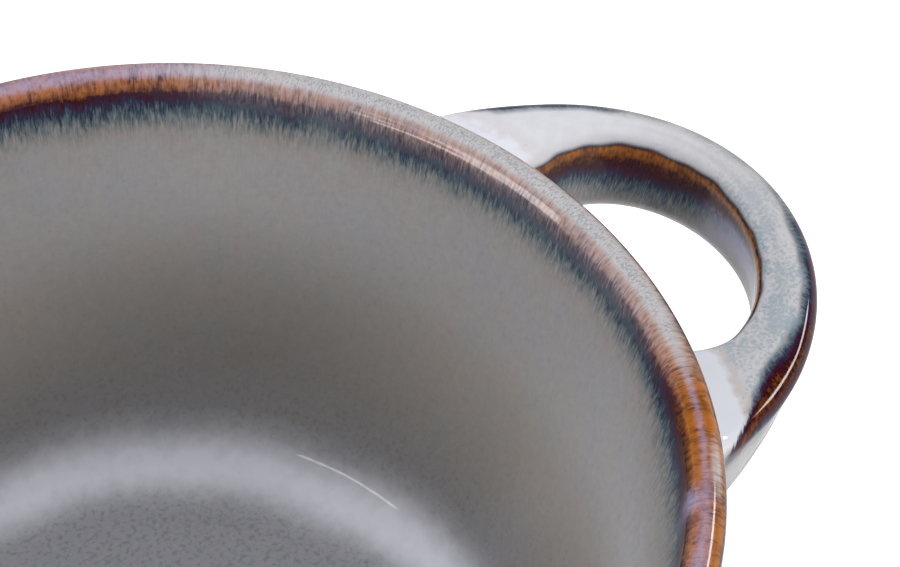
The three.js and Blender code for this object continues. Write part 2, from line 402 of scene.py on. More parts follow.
def bowl_glaze(crest_distance, azimuth):
    """Break, milk, haze with its painted highlight, and speckle on the bowl. crest_distance is negative inside
    and positive outside.
    """
    # Stretches of the rim: under pale milk, with a fuller inner edge, and with a rich amber and long fringe
    turn = to_handle(azimuth) + waver(azimuth, (6, 14), 2.5)
    begun = smoothstep(-29, -10, turn)
    pale = begun * smoothstep(70, 32, turn)
    fuller = begun * smoothstep(78, 50, turn)
    rich = smoothstep(-15, -28, turn) * smoothstep(-90, -62, turn)

    # The course from thin glaze at the crest to thick glaze down both sides
    from_crest = -crest_distance
    inside = from_crest + waver(azimuth, (8, 18, 30), 0.35 * MM)
    inside = inside - 0.45 * MM * fuller + 0.75 * MM * rich
    outside = crest_distance + waver(azimuth, (6, 22, 34), 0.3 * MM)
    short = course(
        inside, (0, 0.94), (1.5, 0.95), (2.2, 0.84), (2.7, 0.7), (3.1, 0.6), (3.7, 0.52), (4.5, 0.44),
        (5.6, 0.35), (7.0, 0.21), (8.6, 0.09), (10.6, 0.035), (14, 0.015), (20, 0),
    )
    long = course(
        inside, (0, 0.94), (2.3, 0.95), (2.8, 0.84), (3.1, 0.72), (4.6, 0.65), (5.4, 0.55), (6.6, 0.44),
        (8.2, 0.32), (10.2, 0.2), (12.6, 0.1), (16, 0.04), (24, 0),
    )
    inner = short + (long - short) * rich
    amber_edge = course(
        outside, (0, 0.94), (2.6, 0.95), (3.0, 0.75), (3.4, 0.5), (4.0, 0.3), (5.2, 0.1), (7.5, 0)
    )
    dark_edge = course(
        outside, (0, 0.94), (0.9, 0.9), (1.5, 0.72), (4.0, 0.66), (4.9, 0.5), (5.6, 0.28), (6.8, 0.1), (9, 0)
    )
    outer = dark_edge + (amber_edge - dark_edge) * rich
    thin = np.where(crest_distance < 0, inner, outer)

    # Milk over the crest, and in a patch on the rich stretch
    over_crest = course(
        from_crest, (-3, 0), (-2.0, 0.25), (-1.2, 0.7), (-0.5, 1), (0.5, 1), (0.9, 0.72), (1.4, 0.48),
        (2.0, 0.4), (2.8, 0.36), (3.3, 0.35), (3.9, 0.33), (4.9, 0.27), (5.4, 0.21), (6.2, 0.12), (7.2, 0.04),
        (8, 0),
    )
    patch = hump(turn, -35.5, 4) * course(from_crest, (-2.6, 0), (-1.7, 0.7), (-0.9, 0.6), (-0.2, 0))
    milk = np.maximum(over_crest * pale, patch)

    # Painted highlight along the crest as a lavender film, narrow near the handles and broad elsewhere; a
    # lavender blush under the milk; and one run of lavender glaze down the inside
    run = hump(turn, -39, 1.3) * course(from_crest, (-1, 0), (0, 0.6), (3, 0.8), (5, 0.3), (7, 0))
    broad = course(
        from_crest, (-1.6, 0), (-0.7, 0.45), (0.2, 0.58), (0.9, 0.5), (1.4, 0.12), (2.6, 0.04), (3.2, 0)
    )
    narrow = course(from_crest, (-0.6, 0), (-0.1, 0.4), (0.2, 0.4), (0.7, 0))
    haze_and_sheen = narrow + (broad - narrow) * smoothstep(20, 45, np.abs(turn + 10))
    blush = 0.25 * pale * course(from_crest, (0.8, 0), (1.8, 1), (2.8, 0.6), (3.8, 0))
    haze_and_sheen = np.maximum(np.maximum(haze_and_sheen, blush), 0.8 * run)

    low = smoothstep(-30 * MM, -64 * MM, crest_distance) * (crest_distance < 0)
    speckle = 0.1 + 0.62 * milk + 0.36 * low
    return thin, milk, haze_and_sheen, speckle


def cove_pool_and_sheen(crest_distance, azimuth):
    """The paler ring between the wall and the floor, where the glaze has gathered, with painted sheen for the
    light and reflection that the cove catches.
    """
    return course(
        waver(azimuth, (3, 7, 12), 0.6 * MM) - crest_distance,
        (48.5, 0), (51.2, 0.2), (53.2, 0.62), (55, 0.93), (56.3, 1), (57.3, 1), (58.8, 0.82), (60, 0.55),
        (61.2, 0.3), (62.6, 0.12), (64.5, 0.05),
    )


def floor_dapple(crest_distance):
    """How much blue dapple shows low on the wall and on the floor."""
    return course(
        -crest_distance, (34, 0), (44, 0.1), (49, 0.1), (54, 0.04), (58, 0.04), (60.5, 0.14), (63, 0.16)
    )


def warm_shade_on_wall(crest_distance):
    """How much of the painted warm shade tint lies low on the wall, above the pale ring, where the near rim
    casts its shadow.
    """
    return course(-crest_distance, (18, 0), (25.5, 0.4), (32, 0.95), (42, 1), (46.5, 0.6), (51, 0))


def root_pool(azimuth, climb, roots):
    """White pools round the handles' roots, which are given as middles and halves in azimuth and climb."""
    turn = np.radians(np.abs(to_handle(azimuth)))
    across = np.maximum(np.abs(turn - roots.azimuth) - roots.half_azimuth, 0) * roots.radius
    above = np.maximum(np.abs(climb - roots.climb) - roots.half_climb, 0)
    upper = smoothstep(-0.5, 0.9, (climb - roots.climb) / roots.half_climb)
    return smoothstep(5.0 * MM, 0.8 * MM, np.hypot(across, above)) * upper


def set_glaze(mesh, flow, **layers):
    """Keeps how the glaze lies on the mesh, for the glaze material."""
    for name, values in layers.items():
        layer = mesh.attributes.new(name, "FLOAT", "POINT")
        layer.data.foreach_set("value", np.asarray(values, np.float32))
    layer = mesh.attributes.new("flow", "FLOAT_VECTOR", "POINT")
    layer.data.foreach_set("vector", np.asarray(flow, np.float32).ravel())


# Turned pieces


def arc(centre, radius, start, end, steps):
    """Points along an arc in section."""
    angles = np.linspace(start, end, steps + 1)
    return centre + radius * np.stack([np.cos(angles), np.sin(angles)], -1)


def chain(*runs):
    """One run of points from several that share their ends."""
    return np.concatenate([runs[0]] + [run[1:] for run in runs[1:]])


def flattened_lip(sizes, profile):
    """The inner half of the rim, from the wall to the crest, with a slight flat on its shoulder."""
    angles = np.linspace(profile.inside_top + math.pi, math.pi / 2, BOWL_STEPS.lip)
    window = np.clip((angles - LIP_FLAT_AT) / LIP_FLAT_REACH, -1, 1)
    radius = profile.bead - sizes.lip_flat * np.cos(window * math.pi / 2) ** 2
    return profile.rim + radius[:, None] * np.stack([np.cos(angles), np.sin(angles)], -1)


def bowl_section(sizes):
    """The bowl's section from the middle of the floor over the rim to the middle of the underside.

    With it comes the way along it from the rim's crest, negative inside and positive outside.
    """
    profile = bowl_profile(sizes)
    steps = BOWL_STEPS
    down = -math.pi / 2
    up = math.pi / 2
    inside = chain(
        np.linspace((0, profile.floor), (profile.cove[0], profile.floor), steps.floor),
        arc(profile.cove, sizes.cove_radius, down, profile.inside_foot, steps.cove),
        arc(profile.inside, sizes.wall_bow, profile.inside_foot, profile.inside_top, steps.inside),
        flattened_lip(sizes, profile),
    )
    outside = chain(
        arc(profile.rim, profile.bead, up, profile.outside_top, steps.crest),
        arc(profile.outside, profile.outer_bow, profile.outside_top, profile.outside_foot, steps.outside),
        arc(profile.shoulder, sizes.shoulder_radius, profile.outside_foot, down, steps.shoulder),
        np.linspace((profile.shoulder[0], sizes.foot_height), (0, sizes.foot_height), steps.underside),
    )
    section = chain(inside, outside)
    lengths = np.linalg.norm(np.diff(section, axis=0), axis=1)
    way = np.concatenate([[0], np.cumsum(lengths)])
    return section, way - way[len(inside) - 1]


def foot_section(sizes):
    """The foot ring's section, a closed run, with shallow turning grooves on its outside."""
    inner = sizes.foot_radius - sizes.foot_width
    edge = sizes.foot_edge
    steps = FOOT_STEPS
    heights = np.linspace(edge, sizes.foot_height, steps.outside)
    turns = 2 * math.pi * GROOVES * (heights - edge) / (sizes.foot_height - edge)
    grooves = GROOVE_DEPTH * (np.cos(turns) - 1) / 2
    section = chain(
        arc(np.array([inner + edge, edge]), edge, math.pi, 1.5 * math.pi, steps.edge),
        np.linspace((inner + edge, 0), (sizes.foot_radius - edge, 0), steps.rest),
        arc(np.array([sizes.foot_radius - edge, edge]), edge, 1.5 * math.pi, 2 * math.pi, steps.edge),
        np.stack([sizes.foot_radius + grooves, heights], -1),
        np.linspace((sizes.foot_radius, sizes.foot_height), (inner, sizes.foot_height), steps.top),
        np.linspace((inner, sizes.foot_height), (inner, edge), steps.inside),
    )
    return section, np.zeros(len(section))


def wheel_tree():
    """A node tree that turns a section, a chain of points in the XZ plane, into a closed body round Z."""
    tree = bpy.data.node_groups.new(WHEEL_TREE, "GeometryNodeTree")
    tree.is_modifier = True
    face = tree.interface
    face.new_socket("Section", in_out="INPUT", socket_type="NodeSocketGeometry")
    face.new_socket("Turn steps", in_out="INPUT", socket_type="NodeSocketInt")
    face.new_socket("Finish", in_out="INPUT", socket_type="NodeSocketMaterial")
    face.new_socket("Body", in_out="OUTPUT", socket_type="NodeSocketGeometry")
    new, link = tree.nodes.new, tree.links.new
    given = new("NodeGroupInput")
    made = new("NodeGroupOutput")

    def sum_of(operation, first, second):
        node = new("ShaderNodeMath")
        node.operation = operation
        for socket, value in zip(node.inputs, (first, second)):
            if isinstance(value, bpy.types.NodeSocket):
                link(value, socket)
            else:
                socket.default_value = value
        return node.outputs[0]

    def from_section(kind, value):
        node = new("GeometryNodeSampleIndex")
        node.data_type = kind
        link(given.outputs["Section"], node.inputs["Geometry"])
        link(value, node.inputs["Value"])
        link(row, node.inputs["Index"])
        return node.outputs["Value"]

    count = new("GeometryNodeAttributeDomainSize")
    link(given.outputs["Section"], count.inputs["Geometry"])
    columns = sum_of("ADD", given.outputs["Turn steps"], 1)
    grid = new("GeometryNodeMeshGrid")
    link(count.outputs["Point Count"], grid.inputs["Vertices X"])
    link(columns, grid.inputs["Vertices Y"])
    index = new("GeometryNodeInputIndex").outputs["Index"]
    row = sum_of("FLOOR", sum_of("DIVIDE", sum_of("ADD", index, 0.5), columns), 0)
    column = sum_of("SUBTRACT", index, sum_of("MULTIPLY", row, columns))
    turned = sum_of("DIVIDE", sum_of("MULTIPLY", column, 2 * math.pi), given.outputs["Turn steps"])

    spin = new("ShaderNodeVectorRotate")
    spin.rotation_type = "Z_AXIS"
    position = new("GeometryNodeInputPosition").outputs["Position"]
    link(from_section("FLOAT_VECTOR", position), spin.inputs["Vector"])
    link(turned, spin.inputs["Angle"])
    placed = new("GeometryNodeSetPosition")
    link(grid.outputs["Mesh"], placed.inputs["Geometry"])
    link(spin.outputs["Vector"], placed.inputs["Position"])

    crest = new("GeometryNodeInputNamedAttribute")
    crest.data_type = "FLOAT"
    crest.inputs["Name"].default_value = CREST_LAYER
    kept = new("GeometryNodeStoreNamedAttribute")
    kept.data_type = "FLOAT"
    kept.domain = "POINT"
    kept.inputs["Name"].default_value = CREST_LAYER
    link(placed.outputs["Geometry"], kept.inputs["Geometry"])
    link(from_section("FLOAT", crest.outputs["Attribute"]), kept.inputs["Value"])

    closed = new("GeometryNodeMergeByDistance")
    closed.inputs["Distance"].default_value = MERGE_DISTANCE
    smooth = new("GeometryNodeSetShadeSmooth")
    whole = new("GeometryNodeRealizeInstances")
    finish = new("GeometryNodeSetMaterial")
    link(given.outputs["Finish"], finish.inputs["Material"])
    body = kept.outputs["Geometry"]
    for step in (closed, smooth, whole, finish):
        link(body, step.inputs["Geometry"])
        body = step.outputs["Geometry"]
    link(body, made.inputs["Body"])
    return tree


def turned_piece(name, section, crest_distance, closed, steps, material):
    """A piece turned from its section by the wheel tree, as a plain mesh."""
    points = [(radius, 0, height) for radius, height in section]
    edges = [(i, i + 1) for i in range(len(points) - 1)]
    mesh = bpy.data.meshes.new(name + "_section")
    mesh.from_pydata(points, edges, [])
    layer = mesh.attributes.new(CREST_LAYER, "FLOAT", "POINT")
    layer.data.foreach_set("value", np.asarray(crest_distance, np.float32))
    piece = bpy.data.objects.new(name, mesh)
    bpy.context.scene.collection.objects.link(piece)
    wheel = piece.modifiers.new("Wheel", "NODES")
    wheel.node_group = bpy.data.node_groups.get(WHEEL_TREE) or wheel_tree()
    values = {"Turn steps": steps, "Finish": material}
    for socket in wheel.node_group.interface.items_tree:
        if socket.in_out == "INPUT" and socket.name in values:
            wheel[socket.identifier] = values[socket.name]
    depsgraph = bpy.context.evaluated_depsgraph_get()
    turned = bpy.data.meshes.new_from_object(piece.evaluated_get(depsgraph), depsgraph=depsgraph)
    piece.modifiers.clear()
    piece.data = turned
    bpy.data.meshes.remove(mesh)
    turned.name = name
    turned.materials.clear()
    turned.materials.append(material)
    face_outwards(turned, closed)
    return piece


def face_outwards(mesh, merge):
    """Merges the doubles of a closed run and turns the faces outwards."""
    work = bmesh.new()
    work.from_mesh(mesh)
    if merge:
        bmesh.ops.remove_doubles(work, verts=work.verts, dist=MERGE_DISTANCE)
    bmesh.ops.recalc_face_normals(work, faces=work.faces)
    work.to_mesh(mesh)
    work.free()


def points_of(mesh):
    """Where the mesh's points lie, one in each row."""
    values = np.empty(len(mesh.vertices) * 3, np.float32)
    mesh.vertices.foreach_get("co", values)
    return values.reshape(-1, 3).astype(float)


# Handles


def loop_point(middle, semi_x, semi_y, angle):
    """Points in plan on an ellipse whose middle lies on the X axis."""
    return np.stack([middle + semi_x * np.cos(angle), semi_y * np.sin(angle)], -1)


def handle_faces(bowl, handle, place, inner_lean, outer_lean):
    """The handle's inner face in plan, the way across it and its width.

    Places go from the tip at 0 to the front end at -1 and the back end at 1.
    """
    outer_middle = bowl.rim_radius - handle.setback
    finger_middle = bowl.rim_radius + handle.finger_setout
    outer = loop_point(
        outer_middle,
        bowl.rim_radius + handle.reach - outer_middle - outer_lean,
        handle.spread / 2 - outer_lean,
        place * OUTER_SWEEP,
    )
    inner = loop_point(
        finger_middle,
        bowl.rim_radius + handle.finger_depth - finger_middle - inner_lean,
        handle.finger_width / 2 - inner_lean,
        place * FINGER_SWEEP,
    )
    width = np.linalg.norm(outer - inner, axis=-1)
    return inner, (outer - inner) / width[:, None], width


def handle_rings(bowl, handle, places):
    """Rings of points round the handle at the given places, the way round each ring, and its marked points.

    A ring goes from its outer top edge over the top and down the inner face, and back along the underside.
    """
    flare = handle.flare * smoothstep(FLARE_FROM, FLARE_TO, np.abs(places))
    heel = handle.heel * smoothstep(HEEL_FROM, HEEL_TO, np.abs(places))
    finger_turn = places * FINGER_SWEEP
    fuller = handle.skew * np.sin(2 * finger_turn)
    fuller = fuller * smoothstep(SKEW_END, SKEW_FADE, np.abs(finger_turn))
    upper = handle_faces(bowl, handle, places, -fuller, 0)
    lower = handle_faces(bowl, handle, places, handle.lean, handle.outer_lean)
    top = handle.top + flare - handle.top_edge
    bottom = handle.bottom - heel + handle.bottom_edge
    corners = []
    for quarter, ((inner, across, width), outer_side, height, radius) in enumerate((
        (upper, True, top, handle.top_edge),
        (upper, False, top, handle.top_edge),
        (lower, False, bottom, handle.bottom_edge),
        (lower, True, bottom, handle.bottom_edge),
    )):
        angles = np.linspace(quarter, quarter + 1, EDGE_STEPS + 1) * math.pi / 2
        middle = width - radius if outer_side else np.full_like(width, radius)
        out = middle[:, None] + radius * np.cos(angles)
        plan = inner[:, None] + across[:, None] * out[..., None]
        up = height[:, None] + radius * np.sin(angles)
        corners.append(np.concatenate([plan, up[..., None]], -1))
    parts = []
    for quarter, steps in enumerate((TOP_STEPS, FACE_STEPS, TOP_STEPS, FACE_STEPS)):
        start = corners[quarter][:, -1:]
        end = corners[(quarter + 1) % 4][:, :1]
        shares = np.linspace(0, 1, steps + 1)[1:-1, None]
        flat = start + (end - start) * shares
        if quarter == 0:
            flat[..., 2] += handle.crown * np.sin(math.pi * shares[:, 0]) ** 2
        parts += [corners[quarter], flat]
    rings = np.concatenate(parts, 1)
    lengths = np.linalg.norm(np.roll(rings, -1, 1) - rings, axis=-1)
    way = np.cumsum(lengths, 1) - lengths
    marks = SimpleNamespace(
        outer_edge=EDGE_STEPS // 2,
        top_middle=EDGE_STEPS + TOP_STEPS // 2,
        inner_edge=EDGE_STEPS + TOP_STEPS + EDGE_STEPS // 2,
    )
    return rings, way, marks


def root_loop(profile, rings):
    """Azimuth and climb of where a handle's lines of points meet the wall at the +Y root."""
    half = rings[len(rings) // 2:]
    azimuth, climb, stand_off = wall_place(profile, half)
    share = np.linspace(0, 1, len(half))
    met = np.array([[np.interp(0, line[::-1], share[::-1]) for line in stand_off.T]])
    return along_lines(azimuth, share, met)[0], along_lines(climb, share, met)[0]


def handle_roots(bowl, handle):
    """Middles and halves of the roots on the wall, alike for all four."""
    profile = bowl_profile(bowl)
    rings, _, _ = handle_rings(bowl, handle, np.linspace(-1, 1, ROOT_PLACES))
    azimuth, climb = root_loop(profile, rings)
    return SimpleNamespace(
        azimuth=(azimuth.max() + azimuth.min()) / 2,
        half_azimuth=(azimuth.max() - azimuth.min()) / 2,
        climb=(climb.max() + climb.min()) / 2,
        half_climb=(climb.max() - climb.min()) / 2,
        radius=bowl.rim_radius,
    )


def loop_outwards(across, climb):
    """Unit directions out of a closed loop of points on the wall, smoothed a little round its corners."""
    along = np.stack([np.roll(values, -2) - np.roll(values, 2) for values in (across, climb)], -1)
    out = np.stack([along[:, 1], -along[:, 0]], -1)
    area = np.sum(across * np.roll(climb, -1) - np.roll(across, -1) * climb)
    out *= math.copysign(1, area)
    for _ in range(3):
        out /= np.linalg.norm(out, axis=-1, keepdims=True)
        out = (np.roll(out, 1, 0) + 2 * out + np.roll(out, -1, 0)) / 4
    return out / np.linalg.norm(out, axis=-1, keepdims=True)


def root_sizes(handle, out, finger_round):
    """How far a root's round reaches over the wall, by the way that it faces there."""
    sideways = np.where(out[:, 0] > 0, handle.flank_round, finger_round) * out[:, 0] ** 2
    upright = np.where(out[:, 1] > 0, handle.valley, handle.chin) * out[:, 1] ** 2
    return sideways + upright


def along_lines(values, places, at):
    """Values on the lines along a handle, given at places, for one place on each line."""
    columns = [np.interp(at[:, j], places, values[:, j]) for j in range(values.shape[1])]
    return np.stack(columns, 1)


def root_round(bowl, handle, rings, places, out, finger_round):
    """Where the lines leave the stem at the +Y root, rows of points from there into the wall, and their way.

    The way, settled, goes from 0 on the stem to 1 on the wall.
    """
    profile = bowl_profile(bowl)
    half = len(places) // 2
    over_wall = root_sizes(handle, out, finger_round)
    _, _, stand_off = wall_place(profile, rings[half:])
    stem_end = np.array([
        np.interp(ROUND_START * size, stand_off[::-1, j], places[half:][::-1])
        for j, size in enumerate(over_wall)
    ])

    def on_wall(at):
        points = np.stack([along_lines(rings[..., axis], places, at[None])[0] for axis in range(3)], -1)
        azimuth, climb, away = wall_place(profile, points)
        return np.stack([azimuth * bowl.rim_radius, climb, away], -1)

    last = on_wall(stem_end)
    tangent = last - on_wall(stem_end - TANGENT_STEP)
    knee = last - tangent * (last[:, 2:] / tangent[:, 2:])

    def beyond(reach, depth):
        return knee + np.concatenate([out * reach[:, None], np.full((len(out), 1), depth)], -1)

    landing = beyond(over_wall, 0)
    step = np.linspace(0, 1, ROOT_STEPS + 1)[1:, None, None]
    curve = (1 - step) ** 2 * last + 2 * step * (1 - step) * knee + step**2 * landing
    tuck = [beyond(over_wall + reach, depth) for reach, depth in TUCK]
    rows = np.concatenate([curve, np.stack(tuck)])
    settled = np.concatenate([step[:, 0, 0], np.ones(len(tuck))])
    points = wall_point(profile, rows[..., 0] / bowl.rim_radius, rows[..., 1], rows[..., 2])
    return stem_end, points, settled


def handle_surface(bowl, handle):
    """Rows of points from the front buried end of the handle to the back one, and where on it they lie."""
    profile = bowl_profile(bowl)
    places = np.linspace(-1, 1, TRACE_PLACES)
    rings, way, marks = handle_rings(bowl, handle, places)
    azimuth, climb = root_loop(profile, rings)
    out = loop_outwards(azimuth * bowl.rim_radius, climb)
    back_end, back, settled = root_round(bowl, handle, rings, places, out, handle.finger_round_back)
    front_end, front, _ = root_round(bowl, handle, rings, places, out, handle.finger_round_front)
    front = (front * np.array([1, -1, 1]))[::-1]

    shares = np.sin(np.linspace(-1, 1, STEM_STEPS + 1) * STEM_TURN) / math.sin(STEM_TURN)
    stem_places = shares[:, None] * np.where(shares[:, None] > 0, back_end, front_end)
    stem = np.stack([along_lines(rings[..., axis], places, stem_places) for axis in range(3)], -1)

    def with_roots(values):
        count = len(back)
        return np.concatenate([np.repeat(values[:1], count, 0), values, np.repeat(values[-1:], count, 0)])

    return SimpleNamespace(
        rows=np.concatenate([front, stem, back]),
        way=with_roots(along_lines(way, places, stem_places)),
        places=with_roots(stem_places),
        settled=np.concatenate([settled[::-1], np.zeros(len(stem)), settled]),
        marks=marks,
        out=out,
    )


def handle_glaze(bowl, surface, roots):
    """The layers of glaze on a handle at +X: thin on the top's two edges, and as on the wall at its roots."""
    profile = bowl_profile(bowl)
    way, marks, places = surface.way, surface.marks, surface.places
    azimuth, climb, stand_off = wall_place(profile, surface.rows)
    ring = way[:, -1:] + (way[:, 1:2] - way[:, :1])
    from_inner = way[:, marks.inner_edge, None] - way
    from_outer = way - way[:, marks.outer_edge, None]
    from_outer = np.where(from_outer > ring / 2, from_outer - ring, from_outer)
    spot = places[:, marks.top_middle, None]
    sway = waver(spot * 9, (1, 3, 7), 0.25 * MM)

    # The amber line along the inner edge, over oxblood and blue on the inner face
    behind = smoothstep(0.02, 0.2, spot)
    from_ridge = from_inner + sway - 0.3 * MM * smoothstep(0.02, -0.3, spot) + 0.5 * MM * behind
    steep = 1 - 0.2 * behind * smoothstep(0.5, 0.36, spot) + 0.5 * smoothstep(0.08, -0.1, spot)
    amber_foot = -1.5 * MM
    from_ridge = np.maximum(from_ridge, amber_foot) + np.minimum(from_ridge - amber_foot, 0) * steep
    inner = course(
        from_ridge, (-9.5, 0), (-7.6, 0.1), (-6.2, 0.24), (-5.2, 0.36), (-4.4, 0.46), (-3.8, 0.57),
        (-3.2, 0.65), (-2.3, 0.68), (-1.8, 0.76), (-1.5, 0.9), (-0.6, 0.92), (-0.42, 0.74), (-0.25, 0.46),
        (0.1, 0.28), (0.7, 0.13), (1.6, 0),
    )
    inner *= smoothstep(3 * MM, 6 * MM, stand_off[:, marks.inner_edge, None])
    # Painted reflection of the bright table: lavender, low on the inner face towards the front
    table_sheen = 0.6 * smoothstep(0.12, -0.08, spot)
    table_sheen = table_sheen * smoothstep(-2.6, -5, from_ridge / MM) * smoothstep(-11, -8, from_ridge / MM)

    # The band along the outer edge, which is wide and dark on the front flank
    flank = smoothstep(-0.36, -0.58, spot)
    root = smoothstep(0.57, 0.73, np.abs(spot))
    band = (2.3 * flank - 3.2 * root - 0.9) * MM
    far_edge = smoothstep(0.3, 0.42, spot)
    strength = 0.22 + 0.42 * smoothstep(0, -0.25, spot) + 0.08 * flank + 0.5 * far_edge
    to_edge = from_outer - band + 1.4 * sway
    to_edge = np.where(to_edge < 0, to_edge * (1 + 4 * root), to_edge)
    outer = strength * course(
        to_edge, (-12, 0), (-9, 0.12), (-6.5, 0.3), (-5, 0.45), (-3.5, 0.62), (-2, 0.8), (-1, 0.95), (0, 1),
        (0.8, 0.95), (1.2, 0.8), (1.6, 0.65), (2.0, 0.45), (2.6, 0.2), (3.2, 0.06), (4, 0),
    )
    outer *= smoothstep(2 * MM, 5 * MM, stand_off[:, marks.outer_edge, None])
    stem = np.maximum(inner, outer)

    # From the stem to the wall
    wall, wall_milk, wall_haze_and_sheen, wall_speckle = bowl_glaze(profile.crest_climb - climb, azimuth)
    landed = smoothstep(0.45, 1, surface.settled)[:, None]
    leaving = 1 - smoothstep(0.1, 0.7, surface.settled)[:, None]

    # The white pools at the roots, and the pale top between the edges, whose white, rising towards the back, is
    # partly painted sheen for the light and reflection on the top
    facing_up = np.clip(surface.out[:, 1], 0, 1)
    edge = waver(np.arange(1, len(spot) + 1)[:, None] * 0.35, (1, 3), 0.5 * MM)
    pool_width = 1 + 0.33 * smoothstep(0, 0.3, spot)
    near = smoothstep(8.6 * MM, 3.0 * MM, (stand_off + edge) / pool_width) * facing_up
    pool = near * (1 - landed) + root_pool(azimuth, climb, roots) * landed
    within_outer = smoothstep(-0.6 * MM, 0.8 * MM, from_outer - 0.5 * MM * far_edge)
    on_top = smoothstep(-0.5 * MM, 0.5 * MM, from_ridge) * within_outer
    sheen_whiteness = 0.12 + 0.38 * smoothstep(-0.05, 0.45, spot)
    pale_top_and_sheen = leaving * on_top * sheen_whiteness * smoothstep(1.6, 3.2, to_edge / MM)
    by_edge = np.maximum(smoothstep(0.02, 0.25, outer), smoothstep(1.8 * MM, 0.2 * MM, from_ridge))
    dapple = 0.2 + 0.3 * by_edge + 0.5 * smoothstep(0.2, -0.3, spot)
    dapple = dapple * smoothstep(0.9, 0.3, pool + 1.6 * pale_top_and_sheen) * on_top
    dapple = dapple * smoothstep(0.45, 0.15, outer) * smoothstep(3.5 * MM, 9 * MM, stand_off)

    length = np.linalg.norm(np.diff(surface.rows[:, marks.top_middle], axis=0), axis=-1)
    along = np.concatenate([[0], np.cumsum(length)])[:, None]
    flow = np.stack(np.broadcast_arrays(along, 2 * bowl.rim_radius, way / FLOW_STRETCH), -1)
    layers = {
        "break": stem * leaving + wall * landed,
        # On the top, the milk is partly pale glaze and partly painted light on the lit top
        "milk": on_top * leaving * smoothstep(0.24, 0.04, outer) + wall_milk * landed,
        "haze_and_sheen": table_sheen * leaving + wall_haze_and_sheen * landed,
        "pool": pool,
        "cove": pale_top_and_sheen,
        "speckle": 0.12 * leaving + wall_speckle * landed,
        "dapple": dapple,
        "shade_warmth": 0.0,
    }
    return flow, {name: np.broadcast_to(values, way.shape) for name, values in layers.items()}


def handle_mesh(name, rows, turned):
    """A closed mesh over rows of rings, with a fan over each end."""
    count, ring = rows.shape[:2]
    points = rows.reshape(-1, 3)
    ends = rows[[0, -1]].mean(1)
    points = np.concatenate([points, ends])
    if turned:
        points = points * np.array([-1, -1, 1])
    i, j = np.meshgrid(np.arange(count - 1), np.arange(ring), indexing="ij")
    a = i * ring + j
    b = i * ring + (j + 1) % ring
    quads = np.stack([a, b, b + ring, a + ring], -1).reshape(-1, 4)
    around = np.arange(ring)
    after = (around + 1) % ring
    first = np.stack([around, np.full(ring, count * ring), after], -1)
    last = np.stack([around, after, np.full(ring, 0)], -1) + (count - 1) * ring
    last[:, 2] = count * ring + 1
    mesh = bpy.data.meshes.new(name)
    mesh.from_pydata(points.tolist(), [], quads.tolist() + first.tolist() + last.tolist())
    mesh.shade_smooth()
    face_outwards(mesh, False)
    return mesh


# Finishes


